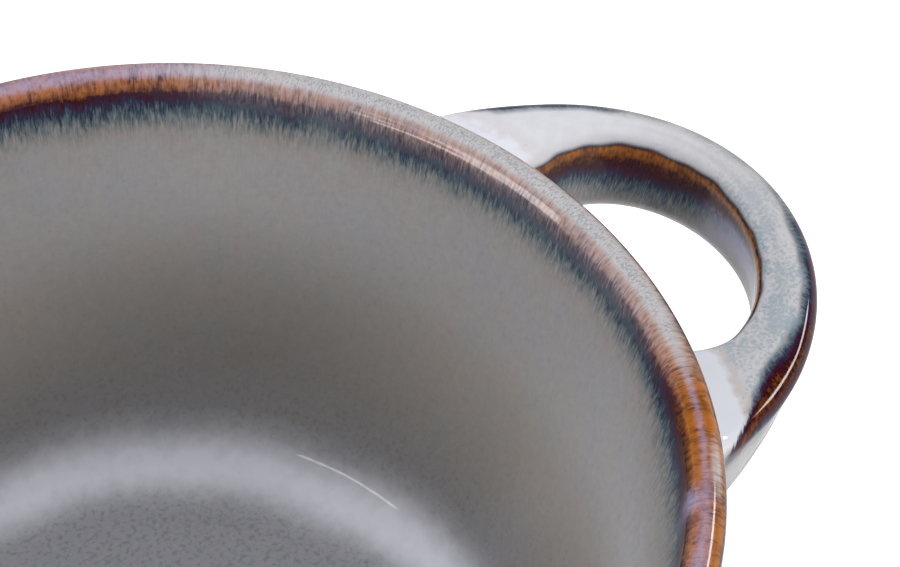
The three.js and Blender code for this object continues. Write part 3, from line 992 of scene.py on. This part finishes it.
class Finish:
    """A material's node tree, with short calls for the nodes that the finishes use.

    Scales of noise and cells are counts for each metre.
    """

    def __init__(self, name):
        self.material = bpy.data.materials.new(name)
        self.material.use_nodes = True
        self.tree = self.material.node_tree
        self.shader = self.tree.nodes["Principled BSDF"]

    def node(self, kind, inputs=(), **settings):
        made = self.tree.nodes.new(kind)
        for key, value in settings.items():
            setattr(made, key, value)
        for key, value in dict(inputs).items():
            self.give(made.inputs[key], value)
        return made

    def give(self, socket, value):
        if isinstance(value, bpy.types.NodeSocket):
            self.tree.links.new(value, socket)
        else:
            socket.default_value = value

    def attribute(self, name, output="Fac"):
        return self.node("ShaderNodeAttribute", attribute_name=name).outputs[output]

    def place(self):
        return self.node("ShaderNodeTexCoord").outputs["Object"]

    def noise(self, vector, scale, detail=2.0, roughness=0.5):
        inputs = {"Vector": vector, "Scale": scale, "Detail": detail, "Roughness": roughness}
        return self.node("ShaderNodeTexNoise", inputs).outputs["Fac"]

    def specks(self, vector, scale, chance, edge):
        """Round specks in some cells. chance and edge each give where the specks start and are full."""
        cells = self.node("ShaderNodeTexVoronoi", {"Vector": vector, "Scale": scale})
        drawn = self.node("ShaderNodeSeparateColor", {"Color": cells.outputs["Color"]}).outputs[0]
        return self.times(self.spread(drawn, *chance), self.spread(cells.outputs["Distance"], *edge))

    def sum(self, operation, first, second=0.0, third=0.0):
        made = self.node("ShaderNodeMath", operation=operation)
        for socket, value in zip(made.inputs, (first, second, third)):
            self.give(socket, value)
        return made.outputs[0]

    def times(self, first, second):
        return self.sum("MULTIPLY", first, second)

    def raised(self, base, by, share):
        """The base with a share of another value added."""
        return self.sum("MULTIPLY_ADD", by, share, base)

    def about(self, noise):
        """A noise moved down, so that its middle is 0."""
        return self.sum("SUBTRACT", noise, 0.5)

    def stirred(self, base, noise, share):
        """The base moved up and down by a share of a noise."""
        return self.raised(base, self.about(noise), share)

    def spread(self, value, low, high, to_low=0.0, to_high=1.0, smooth=True):
        inputs = {"Value": value, "From Min": low, "From Max": high, "To Min": to_low, "To Max": to_high}
        kind = "SMOOTHSTEP" if smooth else "LINEAR"
        return self.node("ShaderNodeMapRange", inputs, interpolation_type=kind).outputs["Result"]

    # The sockets of a Mix node go by number, because those of each kind of value share their names

    def mix(self, share, first, second, blend="MIX"):
        made = self.node("ShaderNodeMix", data_type="RGBA", blend_type=blend)
        self.give(made.inputs[0], share)
        for socket, value in zip(made.inputs[6:8], (first, second)):
            self.give(socket, value if isinstance(value, bpy.types.NodeSocket) else (*value, 1))
        return made.outputs[2]

    def mix_value(self, share, first, second):
        made = self.node("ShaderNodeMix", data_type="FLOAT")
        for socket, value in zip((made.inputs[0], *made.inputs[2:4]), (share, first, second)):
            self.give(socket, value)
        return made.outputs[0]

    def ramp(self, value, *stops):
        made = self.node("ShaderNodeValToRGB", {"Fac": value})
        elements = made.color_ramp.elements
        while len(elements) < len(stops):
            elements.new(1)
        for element, (position, colour) in zip(elements, stops):
            element.position = position
            element.color = (*colour, 1)
        return made.outputs["Color"]

    def bump(self, height, strength, distance):
        inputs = {"Height": height, "Strength": strength, "Distance": distance}
        return self.node("ShaderNodeBump", inputs).outputs["Normal"]


def tinted(colour, tint):
    """A colour seen through a tint."""
    return tuple(c * t for c, t in zip(colour, tint))


def blended(first, second, share):
    """A colour that is the given share of the way from the first to the second."""
    return tuple((1 - share) * a + share * b for a, b in zip(first, second))


def reactive_glaze(look):
    """Grey glaze that breaks over teal, navy, plum and oxblood to amber where it runs thin."""
    made = bpy.data.materials.get("breaking_glaze")
    if made:
        return made
    finish = Finish("breaking_glaze")
    place = finish.place()
    flow = finish.attribute("flow", "Vector")
    layers = ("break", "milk", "haze_and_sheen", "pool", "cove", "speckle", "dapple", "shade_warmth")
    thin, milk, haze_and_sheen, pool, cove, speckle, dapple, shade_warmth = (finish.attribute(name) for name in layers)

    squeeze = {0: flow, 1: (1.0, 1.0, 2.2)}
    along_runs = finish.node("ShaderNodeVectorMath", squeeze, operation="MULTIPLY").outputs[0]
    coarse = finish.noise(flow, 2000, 3, 0.6)
    fine = finish.noise(flow, 4200, 2, 0.5)
    blotches = finish.noise(along_runs, 420, 2, 0.6)
    dashes = finish.noise(along_runs, 4800, 2, 0.6)
    cloud = finish.noise(place, 160, 3, 0.55)
    spots = finish.noise(place, 1500, 2, 0.5)

    # Thinness, made uneven by streaks, clouds and spots, picks the colour
    streaks = finish.stirred(finish.times(finish.about(fine), 1.1), coarse, 1.5)
    reach = finish.times(finish.spread(thin, 0, 0.25, 0.05, 0.38), finish.spread(thin, 0.42, 0.62, 1, 0.6))
    reach = finish.sum("ADD", reach, finish.spread(thin, 0.8, 0.95, 0, 0.12))
    amount = finish.raised(thin, streaks, reach)
    amount = finish.stirred(amount, cloud, finish.spread(thin, 0, 0.3, 0.03, 0.25))
    amount = finish.stirred(amount, spots, finish.spread(thin, 0.5, 0.75, 0.02, 0.34))
    amount = finish.stirred(amount, blotches, finish.spread(thin, 0.6, 0.9, 0, 0.55))
    colour = finish.ramp(
        amount,
        (0.0, look.body),
        (0.06, tinted(look.body, (0.91, 0.88, 0.84))),
        (0.18, blended(tinted(look.body, (0.91, 0.88, 0.8)), look.teal, 0.5)),
        (0.30, look.teal),
        (0.44, look.navy),
        (0.56, look.plum),
        (0.66, look.oxblood),
        (0.82, blended(look.oxblood, look.amber, 0.45)),
        (1.0, look.amber),
    )
    warmth = finish.ramp(cloud, (0.3, (0.95, 0.98, 1.0)), (0.5, (1, 1, 1)), (0.7, (1.03, 1.0, 0.96)))
    colour = finish.mix(1.0, colour, warmth, "MULTIPLY")
    grain = finish.noise(place, 900, 4, 0.65)
    mottle = finish.ramp(grain, (0.3, (0.93, 0.945, 0.95)), (0.7, (1.05, 1.045, 1.045)))
    colour = finish.mix(1.0, colour, mottle, "MULTIPLY")
    # Painted warm tint of the bounced light in the shade low on the wall
    colour = finish.mix(shade_warmth, colour, look.shade_warmth, "MULTIPLY")

    # Haze, with its painted highlight along the crest and on the handles, and milk lie over it
    haze_veil_and_sheen = finish.raised(haze_and_sheen, streaks, finish.spread(haze_and_sheen, 0, 0.2, 0, 0.22))
    haze_veil_and_sheen = finish.stirred(haze_veil_and_sheen, spots, finish.spread(haze_and_sheen, 0, 0.2, 0, 0.5))
    colour = finish.mix(finish.spread(haze_veil_and_sheen, 0.0, 1.0, smooth=False), colour, look.haze_and_sheen)
    bloom = finish.raised(milk, streaks, finish.spread(milk, 0, 0.3, 0, 0.32))
    colour = finish.mix(finish.spread(bloom, 0.08, 0.95), colour, look.milk)

    # Blue specks, which are dashes in the milk, then dapples and a few iron specks
    sown = finish.stirred(speckle, cloud, 0.8)
    seeds = finish.raised(finish.mix_value(milk, spots, dashes), sown, 0.16)
    bare = finish.spread(finish.sum("SUBTRACT", amount, milk), 0.5, 0.2)
    boldness = finish.times(finish.spread(speckle, 0.08, 0.6, 0.1, 0.5), bare)
    colour = finish.mix(finish.times(finish.spread(seeds, 0.54, 0.78), boldness), colour, look.speck)
    dapples = finish.stirred(finish.noise(place, 2000, 3, 0.6), cloud, 0.8)
    colour = finish.mix(finish.times(finish.spread(dapples, 0.42, 0.68), dapple), colour, look.dapple)
    iron = finish.specks(place, 110, chance=(0.93, 0.94), edge=(0.045, 0.02))
    iron = finish.times(iron, finish.spread(thin, 0.3, 0.05, 0, 0.5))
    colour = finish.mix(iron, colour, GLAZE_IRON)

    # Ragged white pools with a cream edge and amber flecks
    shreds = finish.noise(place, 520, 3, 0.6)
    uneven = finish.stirred(finish.times(finish.about(shreds), 0.7), cloud, 0.4)
    ragged = finish.raised(pool, uneven, finish.spread(pool, 0, 0.15))
    held = finish.spread(amount, 0.5, 0.2)
    cream = finish.times(finish.spread(ragged, 0.02, 0.3), held)
    colour = finish.mix(finish.times(cream, 0.8), colour, look.cream)
    flecks = finish.spread(finish.about(spots), 0.14, 0.2)
    flecks = finish.times(flecks, finish.spread(finish.about(cloud), 0.0, 0.08))
    colour = finish.mix(finish.times(flecks, finish.times(cream, 0.7)), colour, look.amber)
    colour = finish.mix(finish.times(finish.spread(ragged, 0.32, 0.7), held), colour, look.pool)
    # White gathered glaze in the cove and on the handles' tops, partly painted sheen for the light and
    # reflection there
    gathered_and_sheen = finish.raised(cove, uneven, finish.spread(cove, 0, 0.3, 0, 0.5))
    colour = finish.mix(finish.spread(gathered_and_sheen, 0.0, 1.0, smooth=False), colour, look.cove)

    sockets = finish.shader.inputs
    finish.give(sockets["Base Color"], colour)
    roughness = finish.spread(fine, 0.3, 0.7, look.roughness * 0.8, look.roughness * 1.3)
    finish.give(sockets["Roughness"], roughness)
    sockets["IOR"].default_value = 1.53
    finish.give(sockets["Specular IOR Level"], finish.spread(amount, 0.3, 0.6, 0.5, 0.36))
    swell = finish.noise(place, 240, 2, 0.4)
    finish.give(sockets["Normal"], finish.bump(swell, 0.12, 0.0002))
    return finish.material


def bare_clay(look):
    """Matt buff stoneware with iron specks."""
    finish = Finish("buff_clay")
    place = finish.place()
    grain = finish.noise(place, 2600, 3, 0.65)
    cloud = finish.noise(place, 140, 2, 0.5)
    pale, dark = (tinted(look.clay, (share, share, share)) for share in (1.08, 0.86))
    colour = finish.ramp(cloud, (0.3, dark), (0.7, pale))
    colour = finish.mix(finish.spread(grain, 0.56, 0.72, 0, 0.5), colour, CLAY_GRAIN)
    iron = finish.specks(place, 420, chance=(0.72, 0.76), edge=(0.2, 0.1))
    colour = finish.mix(finish.times(iron, 0.8), colour, CLAY_IRON)
    sockets = finish.shader.inputs
    finish.give(sockets["Base Color"], colour)
    finish.give(sockets["Roughness"], finish.spread(grain, 0.3, 0.7, 0.74, 0.92))
    sockets["Specular IOR Level"].default_value = 0.3
    finish.give(sockets["Normal"], finish.bump(grain, 0.5, 0.0002))
    return finish.material


def pale_table(look):
    """A pale table that lets some light through, so the ground round the bowl stays bright; its glow is dimmed
    near the bowl as painted shade under it.
    """
    finish = Finish("pale_table")
    sockets = finish.shader.inputs
    sockets["Base Color"].default_value = (*look.table, 1)
    sockets["Roughness"].default_value = 0.6
    sockets["Emission Color"].default_value = (1, 1, 1, 1)
    from_axis = finish.node("ShaderNodeVectorMath", {0: finish.place()}, operation="LENGTH").outputs["Value"]
    # Painted shade: less glow near the bowl
    glow = finish.spread(from_axis, GLOW_FROM, GLOW_TO, 0.1 * look.table_glow, look.table_glow)
    finish.give(sockets["Emission Strength"], glow)
    return finish.material


def dress(piece, slot, *nodes):
    """Puts a finished piece on the frame in place of its CAD nodes."""
    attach(piece, "root")
    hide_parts(*nodes)


# Operators


class BOWL_OT_body(bpy.types.Operator):
    """Turn the bowl and lay the glaze on it"""

    bl_idname = "bowl.body"
    bl_label = "Turn the bowl"

    def execute(self, context):
        sizes = context.scene.bowl_sizes
        section, crest_distance = bowl_section(sizes)
        glaze = reactive_glaze(context.scene.glaze_look)
        piece = turned_piece("glazed_bowl", section, crest_distance, False, sizes.turn_steps, glaze)
        mesh = piece.data
        points = points_of(mesh)
        crest = np.empty(len(points), np.float32)
        mesh.attributes[CREST_LAYER].data.foreach_get("value", crest)
        crest = crest.astype(float)
        azimuth = np.arctan2(points[:, 1], points[:, 0])
        roots = handle_roots(sizes, context.scene.handle_sizes)
        climb = bowl_profile(sizes).crest_climb - crest
        thin, milk, haze_and_sheen, speckle = bowl_glaze(crest, azimuth)
        pool = np.where(crest > 0, root_pool(azimuth, climb, roots), 0)
        round_flow = sizes.rim_radius * np.stack([np.cos(azimuth), np.sin(azimuth)], -1)
        flow = np.concatenate([round_flow, crest[:, None] / FLOW_STRETCH], -1)
        layers = {
            "break": thin,
            "milk": milk,
            "haze_and_sheen": haze_and_sheen,
            "pool": pool,
            "cove": cove_pool_and_sheen(crest, azimuth),
            "speckle": speckle,
            "dapple": floor_dapple(crest),
            "shade_warmth": warm_shade_on_wall(crest),
        }
        set_glaze(mesh, flow, **layers)
        dress(piece, "reactive_glaze", "bowl_body")
        return {"FINISHED"}


class BOWL_OT_foot(bpy.types.Operator):
    """Turn the foot ring, which stays bare clay"""

    bl_idname = "bowl.foot"
    bl_label = "Turn the foot ring"

    def execute(self, context):
        sizes = context.scene.bowl_sizes
        section, crest_distance = foot_section(sizes)
        clay = bare_clay(context.scene.glaze_look)
        piece = turned_piece("bare_foot_ring", section, crest_distance, True, sizes.turn_steps, clay)
        dress(piece, "bare_clay", "foot_ring")
        return {"FINISHED"}


class BOWL_OT_handles(bpy.types.Operator):
    """Draw the two handles out of the wall and glaze them"""

    bl_idname = "bowl.handles"
    bl_label = "Draw out the handles"

    def execute(self, context):
        bowl, handle = context.scene.bowl_sizes, context.scene.handle_sizes
        glaze = reactive_glaze(context.scene.glaze_look)
        surface = handle_surface(bowl, handle)
        flow, layers = handle_glaze(bowl, surface, handle_roots(bowl, handle))

        def with_ends(values):
            return np.concatenate([values.reshape(-1, *values.shape[2:]), values[[0, -1]].mean(1)])

        for side, turned in (("right", False), ("left", True)):
            mesh = handle_mesh(f"glazed_handle_{side}", surface.rows, turned)
            set_glaze(mesh, with_ends(flow), **{name: with_ends(values) for name, values in layers.items()})
            mesh.materials.append(glaze)
            piece = bpy.data.objects.new(mesh.name, mesh)
            context.scene.collection.objects.link(piece)
            slips = [f"luting_slip_{side}_{end}" for end in ("front", "back")]
            dress(piece, "reactive_glaze", f"handle_{side}", *slips)
        return {"FINISHED"}


def aimed(name, data, aim, azimuth, elevation, distance):
    """A lamp or camera that faces the aim from the given side, height and distance."""
    level = math.cos(elevation)
    back = Vector((math.sin(azimuth) * level, -math.cos(azimuth) * level, math.sin(elevation)))
    made = bpy.data.objects.new(name, data)
    made.location = aim + back * distance
    made.rotation_euler = (-back).to_track_quat("-Z", "Y").to_euler()
    bpy.context.scene.collection.objects.link(made)
    return made


class BOWL_OT_stage(bpy.types.Operator):
    """Set the table, the lights and the camera"""

    bl_idname = "bowl.stage"
    bl_label = "Set the stage"

    def execute(self, context):
        scene, look = context.scene, context.scene.stage_look
        aim = Vector(look.aim)
        self.table(scene, look)
        self.camera(scene, look, aim)
        self.lights(look, Vector((0, 0, aim.z)))
        self.room(scene)
        scene.view_settings.view_transform = "Standard"
        return {"FINISHED"}

    def table(self, scene, look):
        mesh = bpy.data.meshes.new("table")
        work = bmesh.new()
        bmesh.ops.create_circle(work, cap_ends=True, radius=TABLE_RADIUS, segments=TABLE_SIDES)
        work.to_mesh(mesh)
        work.free()
        mesh.materials.append(pale_table(look))
        table = bpy.data.objects.new("table", mesh)
        # A white table in the mirror reflections would wash out the dark glaze
        table.visible_glossy = False
        scene.collection.objects.link(table)

    def camera(self, scene, look, aim):
        lens = bpy.data.cameras.new("camera")
        lens.lens = look.lens
        lens.sensor_width = SENSOR_WIDTH
        lens.clip_start = 0.01
        lens.clip_end = 50
        scene.camera = aimed(
            "camera", lens, aim, look.camera_azimuth, look.camera_elevation, look.camera_distance
        )

    def lights(self, look, middle):
        """Soft boxes. The brightness is what a box shows, with a white sheet at 1.

        Turns, in degrees, start at the camera. The broad boxes aren't mirrored, so the dark glaze stays dark.
        """
        for name, turn, elevation, size, brightness, colour, mirrored in (
            ("front_left", -60, 15, (1.15, 0.21), 2.5, NEUTRAL_LIGHT, False),
            ("lip_sheen", -61, 15, (0.85, 0.21), 5.6, NEUTRAL_LIGHT, True),
            ("front_right", 44, 15, (1.0, 0.21), 8.7, NEUTRAL_LIGHT, False),
            ("glint_left", -54, 25.5, (0.62, 0.06), 3.8, NEUTRAL_LIGHT, True),
            ("glint_right", 52, 24, (0.13, 0.045), 9.0, NEUTRAL_LIGHT, True),
            ("back_right", 124, 34, (0.36, 0.16), 12, NEUTRAL_LIGHT, True),
            ("back_left", -124, 28, (0.7, 0.7), 1.6, COOL_LIGHT, False),
            ("back", 180, 50, (0.65, 0.6), 2.6, COOL_LIGHT, False),
            ("overhead", 180, 84, (1.5, 1.1), 1.35, COOL_LIGHT, False),
        ):
            light = bpy.data.lights.new(name, "AREA")
            light.shape = "RECTANGLE"
            light.size, light.size_y = size
            light.energy = LAMP_WATTS * brightness * size[0] * size[1]
            light.color = colour
            azimuth = look.camera_azimuth + math.radians(turn)
            lamp = aimed(name, light, middle, azimuth, math.radians(elevation), LAMP_DISTANCE)
            lamp.visible_glossy = mirrored

    def room(self, scene):
        """A room that is bright near the horizon and dim above."""
        world = bpy.data.worlds.new("pale_room")
        world.use_nodes = True
        nodes, link = world.node_tree.nodes, world.node_tree.links.new
        place = nodes.new("ShaderNodeTexCoord")
        height = nodes.new("ShaderNodeSeparateXYZ")
        fall = nodes.new("ShaderNodeMapRange")
        fall.interpolation_type = "SMOOTHSTEP"
        for socket, value in (("From Min", 0.02), ("From Max", 0.38), ("To Min", 0.8), ("To Max", 0.08)):
            fall.inputs[socket].default_value = value
        link(place.outputs["Generated"], height.inputs["Vector"])
        link(height.outputs["Z"], fall.inputs["Value"])
        link(fall.outputs["Result"], nodes["Background"].inputs["Strength"])
        nodes["Background"].inputs["Color"].default_value = (1, 1, 1, 1)
        scene.world = world


class BOWL_PT_sidebar(bpy.types.Panel):
    """Lists the steps and the sizes of the bowl"""

    bl_idname = "BOWL_PT_sidebar"
    bl_label = "Two-handled bowl"
    bl_space_type = "VIEW_3D"
    bl_region_type = "UI"
    bl_category = "Bowl"

    def draw(self, context):
        column = self.layout.column()
        for operator in STEPS:
            column.operator(operator.bl_idname)
        for group in GROUPS:
            settings = getattr(context.scene, group)
            box = self.layout.box()
            for name in settings.__annotations__:
                box.prop(settings, name)


STEPS = (BOWL_OT_body, BOWL_OT_foot, BOWL_OT_handles, BOWL_OT_stage)
GROUPS = {
    "bowl_sizes": BowlSizes,
    "handle_sizes": HandleSizes,
    "glaze_look": GlazeLook,
    "stage_look": StageLook,
}


def register():
    for cls in (*GROUPS.values(), *STEPS, BOWL_PT_sidebar):
        bpy.utils.register_class(cls)
    for name, group in GROUPS.items():
        setattr(bpy.types.Scene, name, PointerProperty(type=group))


def unregister():
    for name in GROUPS:
        delattr(bpy.types.Scene, name)
    for cls in (BOWL_PT_sidebar, *reversed(STEPS), *reversed(GROUPS.values())):
        bpy.utils.unregister_class(cls)


def main():
    """Makes the pieces and the stage."""
    register()
    bpy.ops.bowl.body()
    bpy.ops.bowl.foot()
    bpy.ops.bowl.handles()
    bpy.ops.bowl.stage()


if __name__ == "__main__":
    main()
